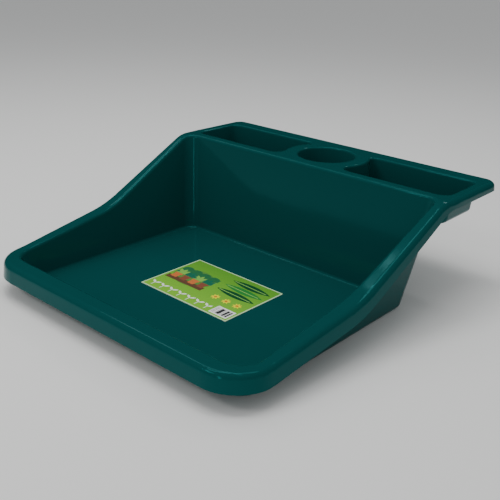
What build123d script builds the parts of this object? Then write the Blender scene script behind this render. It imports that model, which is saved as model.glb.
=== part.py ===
from build123d import *
import os
from math import atan2, radians, tan

# A potting tray: one thin plastic moulding, open at the top and at the front,
# with a printed card lying on its floor.
# Lengths are in millimetres and angles in degrees.
# The origin is below the middle of the tray, on the surface that it stands on.
# X runs to the right, Y to the shelf at the rear, and Z up.

# Plastic
wall = 2.6
floor_thickness = 3.0

# Overall width, over the lower edge of the shelf's skirt
width = 570.0

# Rim in side view, from the front to the rear: level, gentle rise, steep rise, level shelf
front_run = 58.0
lower_slope_run = 180.0
upper_slope_run = 191.0
shelf_run = 176.0
rim_front_height = 53.0
rim_foot_height = 81.5
height = 176.5
front_blend_radius = 150.0
foot_blend_radius = 210.0
knee_blend_radius = 55.0

# Rim in plan
side_rim_width = 20.1
front_side_rim_width = 15.4
front_rim_width = 29.5
front_corner_radius = 61.0
rear_corner_radius = 20.0
side_bend_radius = 500.0
side_bend_behind_knee = 30.0

# Skirt that hangs from the rim, and the rim's rounded edges as shares of its narrowest width
front_skirt_drop = 26.5
slope_skirt_drop = 25.0
shelf_skirt_drop = 14.0
skirt_knee_lag = 13.0
skirt_draft_angle = 6.0
rim_outer_share = 0.57
rim_inner_share = 0.41

# Soil tub
tub_edge_behind_knee = 1.2
side_draft_angle = 8.7
rear_draft_angle = 8.2
front_draft_angle = 8.0
tub_rear_corner_radius = 20.0
tub_front_corner_radius = 34.0
floor_cove_radius = 5.0

# Shelf pockets
pocket_depth = 46.5
pocket_side_rim = 19.3
pocket_front_rim = 20.0
pocket_rear_rim = 35.3
pocket_corner_radius = 16.0
pocket_tip_radius = 18.0
pocket_inner_corner_radius = 10.0
pocket_draft_angle = 5.0
pocket_floor_radius = 6.0
shelf_edge_radius = 4.0

# Round pot well in the middle of the shelf, with a ring between it and the pockets
well_front_rim = 25.106
well_rear_rim = 33.3
well_ring = 25.0
well_depth = 36.0
well_draft_angle = 6.0
well_floor_radius = 6.0

# Printed card
card_length = 189.0
card_depth = 133.0
card_thickness = 0.8
card_corner_radius = 1.5
card_left_of_middle = 11.0
card_front_of_middle = 60.5
card_turn_angle = -0.6

# Solids that cut or bound others run past them by this much
overrun = 10.0

# Places along the tray
depth = front_run + lower_slope_run + upper_slope_run + shelf_run
front_y = -depth / 2
rear_y = depth / 2
foot_y = front_y + front_run + lower_slope_run
knee_y = foot_y + upper_slope_run

# Rounded edges of the rim
narrow_rim = min(side_rim_width, front_side_rim_width)
rim_outer_radius = narrow_rim * rim_outer_share
rim_inner_radius = narrow_rim * rim_inner_share


def lean(rise, angle):
    """How far a wall leans over a rise."""
    return rise * tan(radians(angle))


# Rim's top edges, which stand inside the lower edge of the skirt
top_half_width = width / 2 - lean(shelf_skirt_drop, skirt_draft_angle)
top_rear_y = rear_y - lean(shelf_skirt_drop, skirt_draft_angle)
top_front_y = front_y + lean(front_skirt_drop, skirt_draft_angle)

# Tub's edges: beside and behind it at the shelf, before it at the front rim
knee_turn = atan2(height - rim_foot_height, upper_slope_run)
knee_blend_run = knee_blend_radius * tan(knee_turn / 2)
tub_top_half = top_half_width - side_rim_width
tub_top_rear_y = knee_y + knee_blend_run + tub_edge_behind_knee
tub_top_front_y = top_front_y + front_rim_width

# Pot well, which fills the shelf's run between its rims
well_radius = (top_rear_y - well_rear_rim - tub_top_rear_y - well_front_rim) / 2
well_y = top_rear_y - well_rear_rim - well_radius


def mirrored(half):
    """Face inside a line that runs up the right side, and its mirror image."""
    return make_face(half + mirror(half, about=Plane.YZ))


def tub_plan(z, grow):
    """Inner outline of the tub at a height, moved outwards by grow."""
    half = tub_top_half - lean(height - z, side_draft_angle) + grow
    rear = tub_top_rear_y - lean(height - z, rear_draft_angle) + grow
    front = tub_top_front_y + lean(rim_front_height - z, front_draft_angle) - grow
    corners = [(0, front), (half, front), (half, rear), (0, rear)]
    radii = [tub_front_corner_radius + grow, tub_rear_corner_radius + grow]
    return Plane.XY.offset(z) * mirrored(FilletPolyline(*corners, radius=radii))


def rim_plan(z, inset):
    """Outline of the rim at a height, wider lower down as the skirt leans, moved inwards by the inset."""
    tub_half = tub_top_half - lean(height - rim_front_height, side_draft_angle)
    front_out = lean(rim_front_height - z, skirt_draft_angle) - inset
    rear_out = lean(height - z, skirt_draft_angle) - inset
    front_half = tub_half + front_side_rim_width + front_out
    rear_half = top_half_width + rear_out
    front = top_front_y - front_out
    rear = top_rear_y + rear_out
    bend_y = knee_y + side_bend_behind_knee
    corners = [(0, front), (front_half, front), (rear_half, bend_y), (rear_half, rear), (0, rear)]
    radii = [front_corner_radius + front_out, side_bend_radius, rear_corner_radius + rear_out]
    return Plane.XY.offset(z) * mirrored(FilletPolyline(*corners, radius=radii))


def side_line(front_drop, slope_drop, shelf_drop, knee_lag):
    """Rim's line in side view, lowered by the drops, with its knee moved back by the lag."""
    points = [
        (front_y - overrun, rim_front_height - front_drop),
        (front_y + front_run, rim_front_height - front_drop),
        (foot_y, rim_foot_height - slope_drop),
        (knee_y + knee_lag, height - shelf_drop),
        (rear_y + overrun, height - shelf_drop),
    ]
    return FilletPolyline(*points, radius=[front_blend_radius, foot_blend_radius, knee_blend_radius])


def below(line):
    """Everything under a side line, across the whole width."""
    under = Polyline(line @ 1, (rear_y + overrun, -overrun), (front_y - overrun, -overrun), line @ 0)
    return extrude(Plane.YZ * make_face(line + under), amount=width, both=True)


def rim_block(inset):
    """Solid under the rim's top surface, inside the skirt, drawn in and lowered by the inset."""
    sides = loft([rim_plan(-overrun, inset), rim_plan(height + overrun, inset)], ruled=True)
    return sides & below(side_line(inset, inset, inset, 0))


def tub(grow, bottom, cove_radius):
    """Tub as a solid, from its bottom to above the shelf, with a cove round its floor."""
    body = loft([tub_plan(bottom, grow), tub_plan(height + overrun, grow)], ruled=True)
    return fillet(body.edges().group_by(Axis.Z)[0], cove_radius)


def pocket_plan():
    """Right pocket's edge at the shelf: a rectangle hollowed round the pot well."""
    right = top_half_width - pocket_side_rim
    front = tub_top_rear_y + pocket_front_rim
    rear = top_rear_y - pocket_rear_rim
    shape = make_face(Polyline((0, front), (right, front), (right, rear), (0, rear), close=True))
    shape -= Pos(0, well_y) * Circle(well_radius + well_ring)
    shape = shape.faces().sort_by(Axis.X)[-1]
    shape = fillet(shape.vertices().group_by(Axis.X)[-1], pocket_corner_radius)
    shape = fillet(shape.vertices().group_by(Axis.Y)[0].sort_by(Axis.X)[0], pocket_tip_radius)
    return fillet(shape.vertices().group_by(Axis.Y)[-1].sort_by(Axis.X)[0], pocket_inner_corner_radius)


def pocket(grow):
    """Right pocket as a solid that hangs from the shelf, moved outwards by grow."""
    floor_z = height - pocket_depth - grow
    top = offset(pocket_plan(), amount=grow + lean(overrun, pocket_draft_angle))
    floor = offset(pocket_plan(), amount=grow - lean(height - floor_z, pocket_draft_angle))
    body = loft([Pos(0, 0, floor_z) * floor, Pos(0, 0, height + overrun) * top], ruled=True)
    return fillet(body.edges().group_by(Axis.Z)[0], pocket_floor_radius + grow)


def well(grow):
    """Pot well as a solid that hangs from the shelf, moved outwards by grow."""
    floor_z = height - well_depth - grow
    top = Circle(well_radius + grow + lean(overrun, well_draft_angle))
    floor = Circle(well_radius + grow - lean(height - floor_z, well_draft_angle))
    body = loft([Pos(0, well_y, floor_z) * floor, Pos(0, well_y, height + overrun) * top], ruled=True)
    return fillet(body.edges().group_by(Axis.Z)[0], well_floor_radius + grow)


def shelf_hollows(grow):
    """Both pockets and the well."""
    right_pocket = pocket(grow)
    return [right_pocket, mirror(right_pocket, about=Plane.YZ), well(grow)]


def top_edges(solid, lowered):
    """Edges that bound the top surface, outside and round every hollow."""
    line = Plane.YZ * side_line(lowered, lowered, lowered, 0)
    edges = ShapeList()
    for face in solid.faces():
        middle = face.center(CenterOf.GEOMETRY)
        off_line = line.distance_to(Vector(0, middle.Y, middle.Z))
        if off_line < wall / 100 and face.normal_at(middle).Z > 0:
            edges += face.edges()
    return ShapeList([edge for edge in edges if sum(edge.is_same(other) for other in edges) == 1])


def edge_place(edge):
    """Whether an edge of the top surface is the rim's outer edge, the tub's, or a hollow's in the shelf."""
    middle = edge @ 0.5
    if middle.Y > tub_top_rear_y + pocket_front_rim / 2:
        room = min(top_half_width - abs(middle.X), top_rear_y - middle.Y)
        return "outer" if room < pocket_side_rim / 2 else "shelf"
    inside = tub_plan(middle.Z, side_rim_width / 2).faces()[0].is_inside(middle)
    return "tub" if inside else "outer"


def round_top(solid, inset, radii):
    """Rounds the edges of the top surface, place by place."""
    for place, radius in radii.items():
        edges = [edge for edge in top_edges(solid, inset) if edge_place(edge) == place]
        solid = fillet(edges, radius - inset)
    return solid


def tray_moulding():
    """The whole moulding: an outer skin with every hollow in it, less the space under the skin."""
    tub_inside = tub(0, floor_thickness, floor_cove_radius)
    tub_outside = tub(wall, 0, floor_cove_radius + wall)
    skirt_edge = side_line(front_skirt_drop, slope_skirt_drop, shelf_skirt_drop, skirt_knee_lag)
    rim = rim_block(0) - below(skirt_edge)
    cups = (tub_outside + shelf_hollows(wall)) & below(side_line(wall / 2, wall / 2, wall / 2, 0))
    rim_radii = {"outer": rim_outer_radius, "tub": rim_inner_radius}
    skin = round_top((rim + cups) - tub_inside - shelf_hollows(0), 0, rim_radii | {"shelf": shelf_edge_radius})
    under_skin = round_top(rim_block(wall) - tub_outside - shelf_hollows(wall), wall, rim_radii)
    return skin - under_skin


def printed_card():
    """Card that lies on the tub's floor."""
    card = extrude(RectangleRounded(card_length, card_depth, card_corner_radius), amount=card_thickness)
    return Pos(-card_left_of_middle, -card_front_of_middle, floor_thickness) * Rot(0, 0, card_turn_angle) * card


os.makedirs("parts", exist_ok=True)
export_step(tray_moulding(), "parts/tray_moulding.step")
export_step(printed_card(), "parts/label_card.step")
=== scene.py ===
"""A dark green potting tray with a printed card lying in it, on a pale studio floor.

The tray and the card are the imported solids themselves, each with the finish of the real one.
Places are in metres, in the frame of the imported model. The card's print is laid out in millimetres.
"""
import math

import bmesh
import bpy
from mathutils import Matrix, Vector

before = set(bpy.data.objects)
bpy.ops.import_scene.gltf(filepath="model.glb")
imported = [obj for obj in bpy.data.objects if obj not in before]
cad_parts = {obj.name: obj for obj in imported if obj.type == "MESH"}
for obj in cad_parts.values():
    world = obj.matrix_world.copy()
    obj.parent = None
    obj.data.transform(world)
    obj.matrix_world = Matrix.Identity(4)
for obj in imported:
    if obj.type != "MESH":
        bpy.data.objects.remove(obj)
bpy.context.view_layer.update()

MM = 0.001

# Moulded plastic: the waves that it takes as it cools, and the patches in its polish
WAVE_LENGTH = 45 * MM
WAVE_HEIGHT = 0.4 * MM
WAVE_STRENGTH = 0.04
PATCH_LENGTH = 60 * MM
SMOOTHEST = 0.08
ROUGHEST = 0.13

# Card on the tub's floor, as in the part's source: the middle of its top face, its turn, and half its sides
# in millimetres
CARD_MIDDLE = (-11.0 * MM, -60.5 * MM, 3.8 * MM)
CARD_TURN = math.radians(-0.6)
CARD_HALF_LENGTH = 94.5
CARD_HALF_DEPTH = 66.5

# Print on the card, in millimetres: its edge line's width, its depth, and a distance past the card
EDGE_LINE = 2.2
PRINT_DEPTH = 0.05
PAST_THE_CARD = 1000

# Code panel: its middle, half its sides, half the sides of its bars, and the share of places with no bar.
# The bars' pitch is about three times as coarse as on a real pack, so that they show.
CODE_MIDDLE = (71, -48.5)
CODE_PANEL_HALF = (18, 12.5)
CODE_BARS_HALF = (15, 9)
CODE_BLANK_SHARE = 0.48
CODE_PITCH = 0.9

# Inks and card stock
FRONT_GREEN = "#86c93a"
REAR_GREEN = "#5fa52f"
EDGE_GREEN = "#cdf5bd"
PANEL_WHITE = "#fbfbf8"
BAR_GREY = "#3a3a3c"
CORE_CREAM = "#e8e6dc"
BANK_GREEN = "#5f9442"
SOIL_BROWN = "#6b4a36"
BUSH_GREEN = "#2c7447"
DARK_LEAF = "#14532e"
MID_LEAF = "#2f8a3a"
RIB_GREEN = "#8fcc62"
ORANGE_CLAY = "#d9793f"
BROWN_CLAY = "#8f523d"
LIGHT_FOLIAGE = "#86c552"
DARK_FOLIAGE = "#1c7057"
PETAL_YELLOW = "#fff200"
FLOWER_ORANGE = "#d9822b"
SEEDLING_WHITE = "#fbfff2"

# Mix node in colour mode: its factor, the colour at 0, the colour at 1, and its result
FACTOR, COLOUR_0, COLOUR_1 = 0, 6, 7
MIXED = 2

# Studio: half the floor's side, and the colour and strength of the even surroundings
FLOOR_HALF_SIDE = 30.0
SURROUNDINGS_COLOUR = "#f2f4f6"
SURROUNDINGS_STRENGTH = 0.52

# Lamps: name, place, the point that it faces, its two sides in metres and its power in watts
LAMPS = [
    ("overhead", (-0.15, -0.1, 2.0), (-0.05, 0, 0), (0.4, 2.0), 13),
    ("overhead strip", (0.12, -0.1, 2.0), (-0.05, 0, 0), (0.05, 2.2), 3),
    ("front", (-0.7, -1.85, 1.7), (0, 0.1, 0.1), (0.7, 0.5), 9),
    ("front strip", (0.5, -2.2, 0.4), (-0.2, 0.1, 0.1), (0.25, 0.7), 3.4),
    ("left strip", (-0.85, 0.15, 2.0), (0.1, 0, 0.05), (0.35, 1.7), 6),
    ("rear strip", (0.1, 1.6, 1.6), (0, 0, 0.1), (0.8, 0.08), 2),
]

# Camera: its place, its turn to the right, height above level and roll in degrees, and its lens and sensor
# in millimetres
CAMERA_PLACE = (0.73976, -0.84375, 0.5213)
CAMERA_ANGLES = (40.63, 22.52, 2.17)
CAMERA_LENS = 53.7
CAMERA_SENSOR = 36.0


def srgb(code):
    """Linear colour, with alpha, from an sRGB hex code."""
    parts = [int(code[i : i + 2], 16) / 255 for i in (1, 3, 5)]
    linear = [c / 12.92 if c <= 0.04045 else ((c + 0.055) / 1.055) ** 2.4 for c in parts]
    return (*linear, 1.0)


def add_node(tree, kind, settings=None, links=None):
    """Adds a node, sets its properties and sockets, and links sockets, each by name or number."""
    node = tree.nodes.new(kind)
    for name, value in (settings or {}).items():
        if isinstance(name, int) or name in node.inputs:
            node.inputs[name].default_value = value
        else:
            setattr(node, name, value)
    for name, source in (links or {}).items():
        tree.links.new(source, node.inputs[name])
    return node


def empty_material(name):
    """A node material with nothing in it yet, and its tree."""
    material = bpy.data.materials.new(name)
    material.use_nodes = True
    material.node_tree.nodes.clear()
    return material, material.node_tree


def moulded_polypropylene():
    """Dark bluish green polypropylene from a polished mould: a deep even colour, clear reflections with a
    soft edge, and the faint waviness that thin plastic takes as it cools.

    The specular level is well below the usual 0.5, and its tint blue-green instead of white, because the
    plastic in the photograph mirrors little light, and the floor here is pale."""
    material, tree = empty_material("moulded_polypropylene_green")
    place = add_node(tree, "ShaderNodeTexCoord").outputs["Object"]
    wave = {"Scale": 1 / WAVE_LENGTH, "Detail": 1.0}
    waves = add_node(tree, "ShaderNodeTexNoise", wave, {"Vector": place}).outputs[0]
    relief = {"Strength": WAVE_STRENGTH, "Distance": WAVE_HEIGHT}
    ripple = add_node(tree, "ShaderNodeBump", relief, {"Height": waves}).outputs[0]
    patch = {"Scale": 1 / PATCH_LENGTH, "Detail": 3.0}
    patches = add_node(tree, "ShaderNodeTexNoise", patch, {"Vector": place}).outputs[0]
    polish = {"To Min": SMOOTHEST, "To Max": ROUGHEST}
    roughness = add_node(tree, "ShaderNodeMapRange", polish, {"Value": patches}).outputs[0]
    plastic = {
        "Base Color": srgb("#004847"),
        "IOR": 1.49,
        "Specular IOR Level": 0.15,
        "Specular Tint": srgb("#38ffff"),
    }
    uneven = {"Roughness": roughness, "Normal": ripple}
    surface = add_node(tree, "ShaderNodeBsdfPrincipled", plastic, uneven)
    add_node(tree, "ShaderNodeOutputMaterial", links={"Surface": surface.outputs[0]})
    return material


def card_coordinates(tree):
    """Millimetres from the middle of the card's top face, along its sides."""
    place = add_node(tree, "ShaderNodeTexCoord").outputs["Object"]
    settings = {
        "vector_type": "TEXTURE",
        "Location": CARD_MIDDLE,
        "Rotation": (0, 0, CARD_TURN),
        "Scale": (MM, MM, MM),
    }
    return add_node(tree, "ShaderNodeMapping", settings, {"Vector": place}).outputs[0]


def printed_shape(tree, card, kind, middle, half_size, turn):
    """Mask of a bar, disc or leaf, placed by its middle, half sizes in millimetres and turn in degrees.

    A leaf is the overlap of two equal discs, whose middles lie apart on the line across it."""
    length, breadth = half_size
    settings = {
        "vector_type": "TEXTURE",
        "Location": (*middle, 0),
        "Rotation": (0, 0, math.radians(turn)),
        "Scale": (length, length if kind == "leaf" else breadth, 1),
    }
    own = add_node(tree, "ShaderNodeMapping", settings, {"Vector": card}).outputs[0]
    limit = 1.0
    if kind == "disc":
        reach = add_node(tree, "ShaderNodeVectorMath", {"operation": "LENGTH"}, {0: own}).outputs["Value"]
    else:
        folded = add_node(tree, "ShaderNodeVectorMath", {"operation": "ABSOLUTE"}, {0: own}).outputs[0]
    if kind == "bar":
        sides = add_node(tree, "ShaderNodeSeparateXYZ", links={0: folded}).outputs
        larger = {0: sides[0], 1: sides[1]}
        reach = add_node(tree, "ShaderNodeMath", {"operation": "MAXIMUM"}, larger).outputs[0]
    if kind == "leaf":
        plump = breadth / length
        disc_offset = (1 - plump * plump) / (2 * plump)
        limit = disc_offset + plump
        from_disc = {"operation": "DISTANCE", 1: (0, -disc_offset, 0)}
        reach = add_node(tree, "ShaderNodeVectorMath", from_disc, {0: folded}).outputs["Value"]
    return add_node(tree, "ShaderNodeMath", {"operation": "LESS_THAN", 1: limit}, {0: reach}).outputs[0]


def painted(tree, ground, mask, ink):
    """Colour with an ink over it where the mask says."""
    settings = {"data_type": "RGBA", COLOUR_1: srgb(ink)}
    return add_node(tree, "ShaderNodeMix", settings, {FACTOR: mask, COLOUR_0: ground}).outputs[MIXED]


def seedling(x, y):
    """A stem with two leaves."""
    return [
        ("bar", (x, y - 4.0), (0.7, 5.0), 0, SEEDLING_WHITE),
        ("leaf", (x - 4.4, y + 3.2), (5.6, 2.2), 142, SEEDLING_WHITE),
        ("leaf", (x + 4.4, y + 3.2), (5.6, 2.2), 38, SEEDLING_WHITE),
    ]


def daisy(x, y):
    """Eight yellow petals, each pair one leaf across the flower, round an orange middle."""
    petals = [("leaf", (x, y), (8.5, 2.3), turn, PETAL_YELLOW) for turn in (10, 53, 96, 139)]
    return [*petals, ("disc", (x, y), (2.6, 2.6), 0, FLOWER_ORANGE)]


def potted_plant(x, y, clay, foliage):
    """A clay pot, with a thicker rim, and a fan of leaves that rises from it."""
    shapes = []
    for turn in (10, 50, 90, 130, 170):
        angle = math.radians(turn)
        middle = (x + 7 * math.cos(angle), y + 9 + 7 * math.sin(angle))
        shapes.append(("leaf", middle, (9, 3.2), turn, foliage))
    return [*shapes, ("bar", (x, y - 3), (6.4, 7), 0, clay), ("bar", (x, y + 4), (8.0, 2.4), 0, clay)]


def long_leaf(x, y, ink):
    """A long leaf with a pale rib."""
    return [("leaf", (x, y), (41, 8.4), -2, ink), ("bar", (x - 2, y), (34, 0.9), -2, RIB_GREEN)]


def card_design():
    """Groups of printed shapes, the lowest first: the span along which a group repeats, the window that it
    stays in, by its middle and half sizes, and its shapes."""
    whole_card = ((0, 0), (CARD_HALF_LENGTH, CARD_HALF_DEPTH))
    bed = ((-47, 6), (41, 34))
    border = ((50, -18), (34.5, 12))
    front_row = ((-21, -50), (68, 14))
    leaves = [*long_leaf(46, 45, DARK_LEAF), *long_leaf(46, 26, MID_LEAF), *long_leaf(46, 7, DARK_LEAF)]
    bank = [("disc", (-47, 6), (41, 29), 0, BANK_GREEN), ("bar", (-47, -15), (41, 6), 0, SOIL_BROWN)]
    bush = [("disc", (-78, 24), (11, 9), 0, BUSH_GREEN)]
    return [
        ((-100, 100), whole_card, leaves + bank),
        ((-88, -68), bed, bush),
        ((-87, -47), bed, potted_plant(-77, -3, ORANGE_CLAY, LIGHT_FOLIAGE)),
        ((-67, -27), bed, potted_plant(-57, -3, BROWN_CLAY, DARK_FOLIAGE)),
        ((15.5, 38.5), border, daisy(27, -18)),
        ((-89, -69), front_row, seedling(-79, -50)),
    ]


def repeated(tree, card, span):
    """Card coordinates that start again after each span along the card's length."""
    low, high = span
    limits = {
        "operation": "WRAP",
        1: (high, PAST_THE_CARD, PAST_THE_CARD),
        2: (low, -PAST_THE_CARD, -PAST_THE_CARD),
    }
    return add_node(tree, "ShaderNodeVectorMath", limits, {0: card}).outputs[0]


def stripes(tree, lengthways):
    """Mask of upright bars of uneven width, for a code that encodes nothing."""
    counted = {"operation": "DIVIDE", 1: CODE_PITCH}
    pitches = add_node(tree, "ShaderNodeMath", counted, {0: lengthways}).outputs[0]
    number = add_node(tree, "ShaderNodeMath", {"operation": "FLOOR"}, {0: pitches}).outputs[0]
    drawn = add_node(tree, "ShaderNodeTexWhiteNoise", {"noise_dimensions": "1D"}, {"W": number}).outputs[0]
    barred = {"operation": "GREATER_THAN", 1: CODE_BLANK_SHARE}
    return add_node(tree, "ShaderNodeMath", barred, {0: drawn}).outputs[0]


def printed_ground(tree, depthways):
    """Bright green that deepens from the card's front edge to its rear."""
    sides = {"From Min": -CARD_HALF_DEPTH, "From Max": CARD_HALF_DEPTH}
    fade = add_node(tree, "ShaderNodeMapRange", sides, {"Value": depthways}).outputs[0]
    greens = {"data_type": "RGBA", COLOUR_0: srgb(FRONT_GREEN), COLOUR_1: srgb(REAR_GREEN)}
    return add_node(tree, "ShaderNodeMix", greens, {FACTOR: fade}).outputs[MIXED]


def printed_design(tree, card, colour):
    """Colour with the whole design over it, each group kept within its window."""
    for span, (centre, half), shapes in card_design():
        under = colour
        motif = repeated(tree, card, span)
        for kind, middle, half_size, turn, ink in shapes:
            colour = painted(tree, colour, printed_shape(tree, motif, kind, middle, half_size, turn), ink)
        window = printed_shape(tree, card, "bar", centre, half, 0)
        layers = {FACTOR: window, COLOUR_0: under, COLOUR_1: colour}
        colour = add_node(tree, "ShaderNodeMix", {"data_type": "RGBA"}, layers).outputs[MIXED]
    return colour


def coated_card():
    """Offset print on coated card: bright greens that deepen to the rear, a pale line round the edge, the
    cream core where the card is cut, and an even sheen."""
    material, tree = empty_material("coated_card_printed")
    card = card_coordinates(tree)
    lengthways, depthways, above = add_node(tree, "ShaderNodeSeparateXYZ", links={0: card}).outputs
    colour = printed_design(tree, card, printed_ground(tree, depthways))
    panel = printed_shape(tree, card, "bar", CODE_MIDDLE, CODE_PANEL_HALF, 0)
    colour = painted(tree, colour, panel, PANEL_WHITE)
    window = printed_shape(tree, card, "bar", CODE_MIDDLE, CODE_BARS_HALF, 0)
    bars = {0: window, 1: stripes(tree, lengthways)}
    code = add_node(tree, "ShaderNodeMath", {"operation": "MULTIPLY"}, bars).outputs[0]
    colour = painted(tree, colour, code, BAR_GREY)
    within_line = (CARD_HALF_LENGTH - EDGE_LINE, CARD_HALF_DEPTH - EDGE_LINE)
    inside = printed_shape(tree, card, "bar", (0, 0), within_line, 0)
    edge = add_node(tree, "ShaderNodeMath", {"operation": "SUBTRACT", 0: 1.0}, {1: inside}).outputs[0]
    colour = painted(tree, colour, edge, EDGE_GREEN)
    below_print = {"operation": "LESS_THAN", 1: -PRINT_DEPTH}
    core = add_node(tree, "ShaderNodeMath", below_print, {0: above}).outputs[0]
    colour = painted(tree, colour, core, CORE_CREAM)
    surface = add_node(tree, "ShaderNodeBsdfPrincipled", {"Roughness": 0.32}, {"Base Color": colour})
    add_node(tree, "ShaderNodeOutputMaterial", links={"Surface": surface.outputs[0]})
    return material


def matte_floor():
    """Pale matte studio floor, which spreads an even light."""
    material, tree = empty_material("studio_floor_pale")
    surface = add_node(tree, "ShaderNodeBsdfPrincipled", {"Base Color": srgb("#f3f3f1"), "Roughness": 0.8})
    add_node(tree, "ShaderNodeOutputMaterial", links={"Surface": surface.outputs[0]})
    return material


def finish_node(name, material):
    """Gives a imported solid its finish."""
    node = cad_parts[name]
    node.data.materials.clear()
    node.data.materials.append(material)


def studio_floor():
    """A plane at the height that the tray stands on."""
    mesh = bmesh.new()
    bmesh.ops.create_grid(mesh, x_segments=1, y_segments=1, size=FLOOR_HALF_SIDE)
    data = bpy.data.meshes.new("studio_floor")
    mesh.to_mesh(data)
    mesh.free()
    floor = bpy.data.objects.new("studio_floor", data)
    bpy.context.scene.collection.objects.link(floor)
    data.materials.append(matte_floor())


def soft_light(name, place, target, size, power):
    """A rectangular lamp that faces a point, and that the camera doesn't see."""
    data = bpy.data.lights.new(name, "AREA")
    data.shape = "RECTANGLE"
    data.size, data.size_y = size
    data.energy = power
    light = bpy.data.objects.new(name, data)
    light.location = place
    light.visible_camera = False
    light.rotation_euler = (Vector(target) - Vector(place)).to_track_quat("-Z", "Y").to_euler()
    bpy.context.scene.collection.objects.link(light)


def studio_light():
    """Dim even surroundings that the gloss doesn't mirror, soft lamps overhead and in front, and strips of
    light that draw thin lines on the rim."""
    world = bpy.data.worlds.new("studio")
    world.use_nodes = True
    background = world.node_tree.nodes["Background"].inputs
    background["Color"].default_value = srgb(SURROUNDINGS_COLOUR)
    background["Strength"].default_value = SURROUNDINGS_STRENGTH
    bpy.context.scene.world = world
    world.cycles_visibility.glossy = False
    for lamp in LAMPS:
        soft_light(*lamp)


def photo_camera():
    """Camera at the photograph's place, fitted to the outline of the tray, its floor and the card."""
    turn, height, roll = (math.radians(angle) for angle in CAMERA_ANGLES)
    level_out = math.cos(height)
    back = Vector((math.sin(turn) * level_out, -math.cos(turn) * level_out, math.sin(height)))
    level = Vector((math.cos(turn), math.sin(turn), 0))
    upright = back.cross(level)
    right = level * math.cos(roll) + upright * math.sin(roll)
    up = upright * math.cos(roll) - level * math.sin(roll)
    data = bpy.data.cameras.new("photo_camera")
    data.sensor_width = CAMERA_SENSOR
    data.lens = CAMERA_LENS
    camera = bpy.data.objects.new("photo_camera", data)
    facing = Matrix((right, up, back)).transposed().to_4x4()
    camera.matrix_world = Matrix.Translation(CAMERA_PLACE) @ facing
    bpy.context.scene.collection.objects.link(camera)
    bpy.context.scene.camera = camera


finish_node("tray_moulding", moulded_polypropylene())
finish_node("label_card", coated_card())
studio_floor()
studio_light()
photo_camera()
